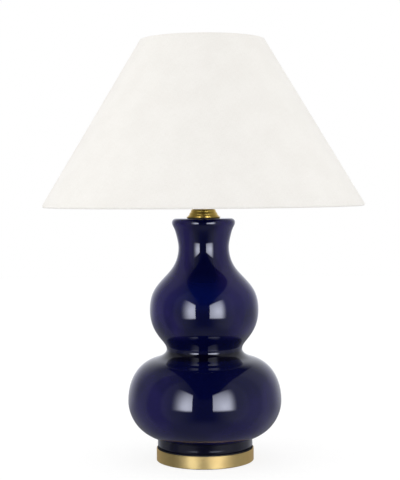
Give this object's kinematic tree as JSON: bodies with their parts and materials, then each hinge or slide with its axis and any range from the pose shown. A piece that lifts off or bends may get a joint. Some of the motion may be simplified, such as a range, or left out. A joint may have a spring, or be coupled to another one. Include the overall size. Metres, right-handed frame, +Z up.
{
  "type": "table lamp",
  "caption": "Double-gourd ceramic table lamp on a round brass plinth, with a tapered fabric shade on a harp, a lamp socket with a turn switch, a bulb and a screw-on finial.",
  "frame": {"origin": "centre of the felt pad's underside, on the surface that the lamp stands on", "axes": "+Z up along the lamp's axis, -Y towards the viewer, with the switch knob in front and the cord inlet at the back"},
  "size_m": [0.504, 0.504, 0.6657],
  "materials": {
    "felt": "black felt",
    "fibreboard": "pressed fibreboard",
    "plinth_brass": "satin turned brass",
    "antique_brass": "antique brass",
    "socket_brass": "bright stamped brass",
    "zinc_steel": "zinc plated",
    "black_plastic": "moulded phenolic",
    "black_rubber": "soft ring",
    "violet_glaze": "dark violet-blue gloss glaze",
    "liner_paper": "fibre paper",
    "bulb_cap_metal": "rolled thread",
    "frosted_glass": "inside frosted",
    "white_enamel": "white coated wire",
    "shade_linen": "off-white linen",
    "white_styrene": "translucent backing sheet"
  },
  "bodies": {
    "base": {"felt_pad": "felt", "base_board": "fibreboard", "plinth": "plinth_brass", "cord_bushing": "black_plastic", "bottom_washer": "zinc_steel", "lock_washer": "zinc_steel", "bottom_nut": "zinc_steel", "threaded_rod": "zinc_steel", "foot_gasket": "black_rubber", "gourd_body": "violet_glaze", "mouth_gasket": "black_rubber", "vase_cap": "antique_brass", "neck_tube": "antique_brass", "harp_saddle": "antique_brass", "socket_cap": "socket_brass", "socket_set_screw": "zinc_steel", "socket_shell": "socket_brass", "socket_liner": "liner_paper", "switch_body": "black_plastic", "terminal_screws": "zinc_steel", "screw_shell": "socket_brass", "centre_contact": "socket_brass", "harp_wire": "antique_brass", "harp_stud": "antique_brass"},
    "switch": {"switch_shaft": "zinc_steel", "switch_knob": "black_plastic"},
    "bulb": {"bulb_contact": "zinc_steel", "bulb_insulator": "black_plastic", "bulb_cap": "bulb_cap_metal", "bulb_glass": "frosted_glass", "bulb_stem": "frosted_glass", "bulb_filament": "zinc_steel"},
    "sleeve_right": {"harp_sleeve_right": "antique_brass"},
    "sleeve_left": {"harp_sleeve_left": "antique_brass"},
    "shade": {"shade_fabric": "shade_linen", "shade_liner": "white_styrene", "shade_top_ring": "white_enamel", "shade_bottom_ring": "white_enamel", "spider_arms": "white_enamel", "spider_hub": "white_enamel"},
    "finial": {"finial": "antique_brass"}
  },
  "joints": [
    {"name": "switch_turn", "type": "hinge", "parent": "base", "child": "switch", "pos_m": [0, -0.03, 0.4342], "axis": [0, -1, 0], "continuous": true},
    {"name": "bulb_turn", "type": "hinge", "parent": "base", "child": "bulb", "pos_m": [0, 0, 0.5021], "axis": [0, 0, 1], "range_deg": [0, 1800]},
    {"name": "sleeve_right_lift", "type": "slide", "parent": "base", "child": "sleeve_right", "axis": [0, 0, 1], "range_m": [0, 0.016]},
    {"name": "sleeve_left_lift", "type": "slide", "parent": "base", "child": "sleeve_left", "axis": [0, 0, 1], "range_m": [0, 0.016]},
    {"name": "shade_turn", "type": "hinge", "parent": "base", "child": "shade", "pos_m": [0, 0, 0.6372], "axis": [0, 0, 1], "continuous": true},
    {"name": "finial_turn", "type": "hinge", "parent": "base", "child": "finial", "pos_m": [0, 0, 0.6521], "axis": [0, 0, 1], "range_deg": [0, 2160]}
  ]
}
